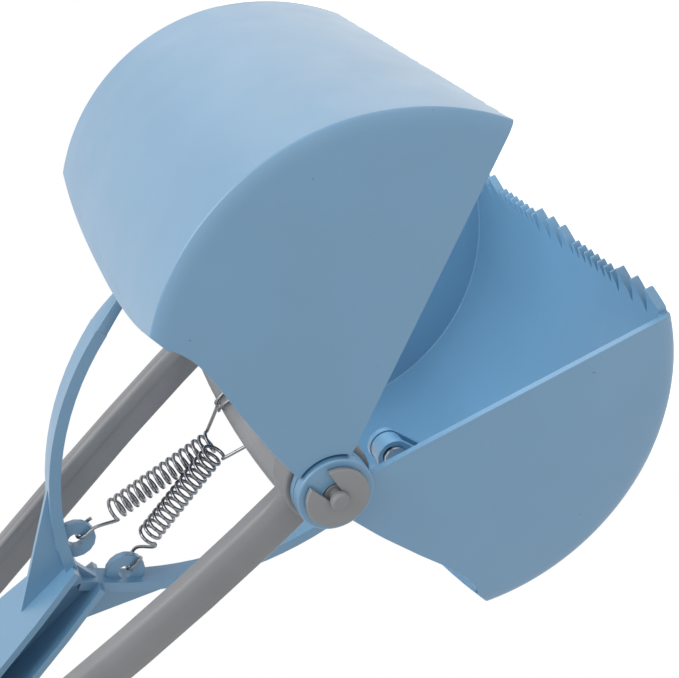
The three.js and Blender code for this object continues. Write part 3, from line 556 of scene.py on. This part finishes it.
UPPER_EDGE_BACK = 0.25      # how far the upper jaw's front edge stays behind the mouth
UPPER_EDGE_WAVE = 0.12      # and more at each tooth, as a share of its height
POCKET_SKIN = 0.9
POCKET_WALL_SKIN = 0.2
POCKET_HALF = 68.5
POCKET_LEAST = 0.6
POCKET_TOP = 12.0
POCKET_FAR_END, POCKET_NEAR_END = -4.0, -4.5
POCKET_CUT = (60.0, 150.0)  # from and to, along the mouth


def tooth_line():
    """Points of (w, height) along the lower jaw's front edge."""
    w = TOOTH_START
    line = []
    for kind, count in TOOTH_ROW:
        tooth = TEETH[kind]
        for _ in range(count):
            middle = w + tooth["pitch"] * TOOTH_LEAN
            line.append((w, -tooth["root"]))
            line += [(middle - TOOTH_FLAT / 2, tooth["tip"]), (middle + TOOTH_FLAT / 2, tooth["tip"])]
            w += tooth["pitch"]
    line[0] = (-TOOTH_END, -MOUTH_GAP)
    return line + [(TOOTH_END, TOOTH_END_HEIGHT), (TOOTH_END + TOOTH_END_STEP, -MOUTH_GAP)]


def tooth_pockets(teeth):
    """Room for the lower teeth behind a thin skin, cut from the inside of the upper shell."""
    pockets = drum("pocket", SHELL_RADIUS - POCKET_SKIN, WALL_INNER - POCKET_WALL_SKIN, INNER_RIM, UPPER_SWELL)
    edge = [(w, min(-height - TOOTH_MESH_GAP, -POCKET_LEAST)) for w, height in teeth[1:-2]]
    edge = [(-POCKET_HALF, POCKET_TOP), (-POCKET_HALF, POCKET_FAR_END)] + edge
    edge += [(POCKET_HALF, POCKET_NEAR_END), (POCKET_HALF, POCKET_TOP)]
    return combine(pockets, prism("row", edge[::-1], *POCKET_CUT, MOUTH_AXES), "INTERSECT")


# Fork arms and the jaws' arm brackets: two cheeks with a slot for the pin at the arm's end

ARM_U, ARM_V, ARM_RADIUS = -48.5, -5.2, 113.3
ARM_END_RADIUS = 28.0
ARM_END_FROM = math.radians(6.0)
ARM_TIP = math.radians(-32.5)
ARM_END_U = ARM_U + (ARM_RADIUS - ARM_END_RADIUS) * math.cos(ARM_END_FROM)
ARM_END_V = ARM_V + (ARM_RADIUS - ARM_END_RADIUS) * math.sin(ARM_END_FROM)
EYE_U = ARM_END_U + ARM_END_RADIUS * math.cos(ARM_TIP)
EYE_V = ARM_END_V + ARM_END_RADIUS * math.sin(ARM_TIP)
EYE_REACH = math.hypot(EYE_U, EYE_V)
CHEEK_INNER, CHEEK_OUTER = 3.0, 5.4
CHEEK_RADIUS = 6.6
CHEEK_ROOT = 93.0
SLOT_RADIUS = 3.4
SLOT_INWARD, SLOT_OUTWARD = 1.4, 11.2
SLOT_DEPTH = 12.0


def eye_line(reach):
    """The point at this distance from the hinge on the line through the arm's eye."""
    return (EYE_U * reach / EYE_REACH, EYE_V * reach / EYE_REACH)


def arm_bracket(most):
    cheek = prism("cheek", stadium(EYE_U, EYE_V, *eye_line(CHEEK_ROOT), CHEEK_RADIUS), CHEEK_INNER, CHEEK_OUTER)
    combine(cheek, drum("socket", SHELL_RADIUS - SHELL_WALL / 2, WALL_INNER, INNER_RIM, most), "INTERSECT")
    slot = stadium(*eye_line(EYE_REACH - SLOT_INWARD), *eye_line(EYE_REACH + SLOT_OUTWARD), SLOT_RADIUS)
    combine(cheek, prism("slot", slot, 0.0, SLOT_DEPTH), "DIFFERENCE")
    return combine(cheek, far_copy(cheek), "UNION")


# Jaws: shell, hinge ears and arm bracket. The upper jaw's ear is a plate just inside the lower
# jaw's ear, joined to the side wall by a pad.

EAR = 12.6
EAR_BOSS = 1.6
EAR_SOFT = 0.7
EAR_SOFT_TURNS = np.radians((30, 60, 90))
EAR_SEGMENTS = 96
EAR_RELIEF = 0.8            # room in the upper jaw round the lower jaw's ear
PLATE_GAP = 0.35
PLATE = 2.6
PLATE_REACH = 24.0
PLATE_OVERLAP = 1
PAD_OVERLAP = 0.4
PAD_CUT = (60.0, 80.0)
PIN_HOLE = 4.3
PIN_HOLE_STEPS = 40
PIN_HOLE_CUT = (55.0, 80.0)
JAW_WELD = 0.02
JAW_FLAT = 0.3
JAW_BEVEL = 0.3
JAW_BEVEL_ANGLE = 40.0


def pin_holes(jaw):
    both_ends(jaw, prism("hole", disc(PIN_HOLE, PIN_HOLE_STEPS), *PIN_HOLE_CUT), "DIFFERENCE")


def upper_jaw():
    plate_outer = WALL_INNER - PLATE_GAP
    plate_inner = plate_outer - PLATE
    teeth = tooth_line()
    edge = [(w, -UPPER_EDGE_BACK - UPPER_EDGE_WAVE * max(height, 0.0)) for w, height in teeth]
    jaw = jaw_shell("upper_jaw_shape", UPPER_SWELL, edge)
    combine(jaw, tooth_pockets(teeth), "DIFFERENCE")
    both_ends(jaw, prism("relief", disc(EAR + EAR_RELIEF), plate_outer, BEYOND_WALLS), "DIFFERENCE")
    both_ends(jaw, prism("plate", disc(EAR), plate_inner, plate_outer), "UNION")
    sector = prism("sector", jaw_outline(), plate_inner, plate_outer)
    reach = prism("reach", disc(PLATE_REACH), plate_inner - PLATE_OVERLAP, plate_outer + PLATE_OVERLAP)
    both_ends(jaw, combine(sector, reach, "INTERSECT"), "UNION")
    pad = prism("pad", jaw_outline(), plate_outer - PAD_OVERLAP, WALL_INNER + PAD_OVERLAP)
    combine(pad, prism("reach", disc(PLATE_REACH), *PAD_CUT), "INTERSECT")
    combine(pad, prism("inside", disc(EAR + EAR_RELIEF), *PAD_CUT), "DIFFERENCE")
    both_ends(jaw, pad, "UNION")
    combine(jaw, arm_bracket(UPPER_SWELL), "UNION")
    pin_holes(jaw)
    return jaw


def lower_jaw():
    jaw = jaw_shell("lower_jaw_shape", LOWER_SWELL, tooth_line())
    outer = HALF_WIDTH + EAR_BOSS
    rim, face = EAR - EAR_SOFT, outer - EAR_SOFT
    ear = [(0.0, WALL_INNER), (EAR, WALL_INNER), (EAR, face)]
    ear += [(rim + EAR_SOFT * math.cos(turn), face + EAR_SOFT * math.sin(turn)) for turn in EAR_SOFT_TURNS]
    both_ends(jaw, revolve("ear", ear + [(0.0, outer)], EAR_SEGMENTS), "UNION")
    combine(jaw, arm_bracket(LOWER_SWELL), "UNION")
    pin_holes(jaw)
    return flip(jaw, U)


def make_jaw(shape, name, body, cad):
    clean(shape, JAW_WELD, JAW_FLAT)
    to_row(shape)
    edge = add_bevel(shape, JAW_BEVEL, JAW_BEVEL_ANGLE)
    edge.use_clamp_overlap = False
    edge.miter_outer = "MITER_ARC"
    apply_modifiers(shape)
    shade_smooth(shape, SHARP)
    weigh_normals(shape)
    shape.name = name
    finish_piece(shape, "blue_plastic", body, cad)


make_jaw(upper_jaw(), "upper_jaw_visual", "upper_scoop", "upper_jaw")
make_jaw(lower_jaw(), "lower_jaw_visual", "lower_scoop", "lower_jaw")


# Springs: one wire each, hooked through the lug and round the crossbar

WIRE = 0.65                 # the wire's radius
WIRE_SIDES = 12
WIRE_SHRINK = 0.99
SPRING_RADIUS = 4.4
COIL_RADIUS = SPRING_RADIUS - WIRE
COIL_STEPS = 28
COIL_PHASE = math.radians(135.0)
COIL_INWARD, COIL_BELOW, COIL_ASIDE = 4.0, 15.7, 1.2   # the coil's first end, from the lug
LUG_U, LUG_V, LUG_THICK, LUG_HOLE = 12.3, 84.9, 3.0, 2.7
LUG_PLAY = 0.5
BAR_HALF_U, BAR_HALF_V, BAR_POWER = 6.0, 4.5, 3.0
BAR_V, BAR_BOW, BAR_END_W = 9.8, 3.0, 56.0
BAR_PLAY = 0.45
BAR_TURNS = [0.36, 0.45, 0.55, 0.65, 0.75, 0.86, 0.97, 1.08, 1.17]
HOOK_STEPS = 10
HOOK_DROP = 7.0             # from the lug's hole to the wire's ends beside the lug
TO_CAMERA = np.array((0.556, -0.072, 0.828))
SPRINGS = {
    "spring_upper": {"side": 1, "lean": 0.24, "turns": 15.5, "bar": (-2.7, 28.0, -3.9),
                     "hook_w": -6.0, "end_w": -2.0},
    "spring_lower": {"side": -1, "lean": 0.06, "turns": 15, "bar": (-0.4, 28.0, 6.0),
                     "hook_w": 12.0, "end_w": -2.0},
}


def bar_centre(w):
    return BAR_V + BAR_BOW * (1.0 - (w / BAR_END_W) ** 2)


def coil_points(start, end, lean, turns):
    """The coil from start to end. Lean sets the camera's side of each turn back towards the start."""
    axis = (end - start) / np.linalg.norm(end - start)
    across = np.cross((0.0, 0.0, 1.0), axis)
    across /= np.linalg.norm(across)
    up = np.cross(axis, across)
    coil = []
    steps = round(turns * COIL_STEPS)
    for i in range(steps + 1):
        angle = COIL_PHASE - 2 * math.pi * i / COIL_STEPS
        place = start + (end - start) * i / steps
        offset = COIL_RADIUS * (across * math.cos(angle) + up * math.sin(angle))
        coil.append(place + offset - lean * offset.dot(TO_CAMERA) * axis)
    return coil


def lug_hook(side):
    """Free end past one face of the lug, through its hole, and back past the other face."""
    stand = side * (LUG_THICK / 2 + WIRE + LUG_PLAY)
    v = LUG_V - (LUG_HOLE - WIRE - LUG_PLAY)
    places = [(WIRE, HOOK_DROP, -stand), (0.0, HOOK_DROP / 2, -stand), (0.0, 0.0, -stand / 2),
              (0.0, 0.0, stand / 2), (WIRE, HOOK_DROP / 3, stand), (2 * WIRE, HOOK_DROP, stand)]
    return [(side * (LUG_U - along), v - down, w) for along, down, w in places]


def bar_hook(side, hook_w, end_w):
    """Free end beside the crossbar, round it and back."""
    grow = BAR_PLAY + WIRE
    points = []
    for i, share in enumerate(BAR_TURNS):
        angle = 2 * math.pi * share
        w = end_w + (hook_w - end_w) * i / (len(BAR_TURNS) - 1)
        bend = [math.copysign(abs(part) ** (2 / BAR_POWER), part) for part in (math.cos(angle), math.sin(angle))]
        points.append((side * (BAR_HALF_U + grow) * bend[0], bar_centre(w) + (BAR_HALF_V + grow) * bend[1], w))
    return points


def spring_line(side, lean, turns, bar, hook_w, end_w):
    start = np.array((side * (LUG_U - COIL_INWARD), LUG_V - COIL_BELOW, -side * COIL_ASIDE))
    coil = coil_points(start, np.array(bar), lean, turns)
    bend = coil[0] + np.array((side * WIRE, 2 * WIRE, 0.0))
    near = COIL_STEPS // 8
    overlap = HOOK_STEPS + 1    # the hook's last span lies on the coil, and only shapes the bend
    first = through(lug_hook(side) + [bend, coil[0], coil[near]], HOOK_STEPS)[:-overlap]
    last = through(bar_hook(side, hook_w, end_w) + [coil[-1], coil[-1 - near]], HOOK_STEPS)[:-overlap]
    return first + coil + last[::-1]


def wire(name, line, radius):
    line = [np.array(point, float) for point in line]
    turns = 2 * math.pi * np.arange(WIRE_SIDES) / WIRE_SIDES
    normal = None
    rings = []
    for i, point in enumerate(line):
        tangent = line[min(i + 1, len(line) - 1)] - line[max(i - 1, 0)]
        tangent /= np.linalg.norm(tangent)
        if normal is None:
            normal = np.cross((1.0, 0.0, 0.0), tangent)
        normal = normal - tangent * normal.dot(tangent)
        normal /= np.linalg.norm(normal)
        side = np.cross(tangent, normal)
        rings.append([point + radius * (normal * math.cos(turn) + side * math.sin(turn)) for turn in turns])
    return loft(name, rings)


for name, place in SPRINGS.items():
    made = to_row(wire(name + "_wire", spring_line(**place), WIRE * WIRE_SHRINK))
    shade_smooth(made, ROUND_SHARP)
    dress(made, "spring_steel")
    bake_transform(made)
    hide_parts(name)


# Fork arms: a taper over the shoulder where each arm gets slim

SHOULDER = math.radians(12.5)
TAPER = math.radians(8.0)
TAPER_OVERLAP = math.radians(1.0)
TAPER_SKIN = 0.04
TAPER_CORNER = 0.35
TAPER_CORNER_STEPS = 3
TAPER_STEPS = 8
ARM_WIDE, ARM_SLIM = (9.0, 4.0), (5.0, 3.4)     # width along w and thickness


def arm_taper(side):
    rings = []
    for i in range(TAPER_STEPS + 1):
        share = i / TAPER_STEPS
        ease = share * share * (3.0 - 2.0 * share)
        angle = SHOULDER + TAPER_OVERLAP - (TAPER + TAPER_OVERLAP) * share
        wide, thick = (big + (slim + TAPER_SKIN - big) * ease for big, slim in zip(ARM_WIDE, ARM_SLIM))
        section = round_box(-thick / 2, thick / 2, -wide / 2, wide / 2, TAPER_CORNER, TAPER_CORNER_STEPS)
        rings.append([(side * (ARM_U + (ARM_RADIUS + x) * math.cos(angle)),
                       ARM_V + (ARM_RADIUS + x) * math.sin(angle), y) for x, y in section])
    return loft("taper", rings)


for name, side in (("upper_arm_taper", 1), ("lower_arm_taper", -1)):
    taper = to_row(arm_taper(side))
    taper.name = name
    shade_smooth(taper, ROUND_SHARP)
    finish_piece(taper, "blue_plastic", "rod")


# CAD nodes that stay: flat facets joined, edges softened

REPLACED = ("upper_jaw", "lower_jaw", "spring_upper", "spring_lower")
NODE_WELD = 0.00002         # metres
NODE_FLAT = 1.0
NODE_BEVEL_ANGLE = 42.0
NODE_BEVEL = 0.3
NODE_BEVELS = {
    "frame_rails": 0.0, "pull_rod": 0.35, "hinge_pin_near": 0.25, "hinge_pin_far": 0.25,
    "hinge_clip_near": 0.25, "hinge_clip_far": 0.25,
}


def keep_node(name):
    obj = frame["nodes"][name]
    dress(obj, SLOT_OF[name])
    weld = obj.modifiers.new("weld", "WELD")
    weld.merge_threshold = NODE_WELD
    flat = obj.modifiers.new("flat", "DECIMATE")
    flat.decimate_type = "DISSOLVE"
    flat.angle_limit = math.radians(NODE_FLAT)
    width = NODE_BEVELS.get(name, NODE_BEVEL)
    if width > 0.0:
        add_bevel(obj, width, NODE_BEVEL_ANGLE)
    weigh_normals(obj)
    shade_smooth(obj, SHARP)


for name in frame["nodes"]:
    if name not in REPLACED:
        keep_node(name)


# Studio: a white surround, two large lamps and a faint one

WORLD_LEVEL = 0.66
FLOOR_HALF = 6.0            # metres
FLOOR_GLOW = 0.75
FLOOR_HEIGHT = row(0.0, -390.0, 0.0).z
MIDDLE = row(0.0, -20.0, 0.0)


def only_seen(tree, seen, lit):
    """The first shader for what the camera sees, directly or in a reflection, and the second for the light."""
    path = tree.nodes.new("ShaderNodeLightPath")
    share = path.outputs["Is Camera Ray"]
    for ray in ("Is Glossy Ray", "Is Transmission Ray"):
        most = tree.nodes.new("ShaderNodeMath")
        most.operation = "MAXIMUM"
        tree.links.new(share, most.inputs[0])
        tree.links.new(path.outputs[ray], most.inputs[1])
        share = most.outputs[0]
    mix = tree.nodes.new("ShaderNodeMixShader")
    tree.links.new(share, mix.inputs[0])
    tree.links.new(lit, mix.inputs[1])
    tree.links.new(seen, mix.inputs[2])
    return mix.outputs[0]


def make_world():
    world = bpy.data.worlds.new("studio")
    scene.world = world
    world.use_nodes = True
    tree = world.node_tree
    tree.nodes.clear()
    seen = add_node(tree, "ShaderNodeBackground", {"Color": (*WHITE, 1.0), "Strength": 1.0})
    lit = add_node(tree, "ShaderNodeBackground", {"Color": (0.95, 0.98, 1.0, 1.0), "Strength": WORLD_LEVEL})
    out = tree.nodes.new("ShaderNodeOutputWorld")
    tree.links.new(only_seen(tree, seen.outputs[0], lit.outputs[0]), out.inputs["Surface"])


def make_floor():
    corners = [(-1, -1), (1, -1), (1, 1), (-1, 1)]
    mesh = bpy.data.meshes.new("floor")
    mesh.from_pydata([(x * FLOOR_HALF, y * FLOOR_HALF, FLOOR_HEIGHT) for x, y in corners], [], [(0, 1, 2, 3)])
    floor = bpy.data.objects.new("floor", mesh)
    scene.collection.objects.link(floor)
    material, tree, shader = new_material("floor")
    set_inputs(shader, {"Base Color": (0.85, 0.85, 0.85, 1.0), "Roughness": 0.9, "Specular IOR Level": 0.0})
    glow = add_node(tree, "ShaderNodeEmission", {"Color": (*WHITE, 1.0), "Strength": FLOOR_GLOW})
    both = tree.nodes.new("ShaderNodeAddShader")
    tree.links.new(shader.outputs[0], both.inputs[0])
    tree.links.new(glow.outputs[0], both.inputs[1])
    out = tree.nodes["Material Output"]
    tree.links.new(only_seen(tree, both.outputs[0], shader.outputs[0]), out.inputs["Surface"])
    mesh.materials.append(material)


def make_lamp(name, place, target, size, power):
    data = bpy.data.lights.new(name, "AREA")
    data.shape = "SQUARE"
    data.size = size
    data.energy = power
    lamp = bpy.data.objects.new(name, data)
    scene.collection.objects.link(lamp)
    lamp.location = place
    lamp.rotation_euler = (target - place).to_track_quat("-Z", "Y").to_euler()
    return lamp


make_world()
make_floor()
make_lamp("key", MIDDLE + Vector((1.05, -0.15, 0.25)), MIDDLE, size=0.7, power=7.5)
make_lamp("fill", MIDDLE + Vector((0.25, -1.3, 0.2)), MIDDLE, size=1.0, power=1.5)
# The faint lamp in the upper jaw's hollow stands for the light that the thin jaws let through
hollow = make_lamp("hollow", row(34.0, -72.0, 0.0), row(-40.0, -62.0, 0.0), size=0.07, power=0.135)
hollow.visible_camera = False
hollow.visible_glossy = False

scene.view_settings.view_transform = "Standard"

bpy.context.view_layer.update()
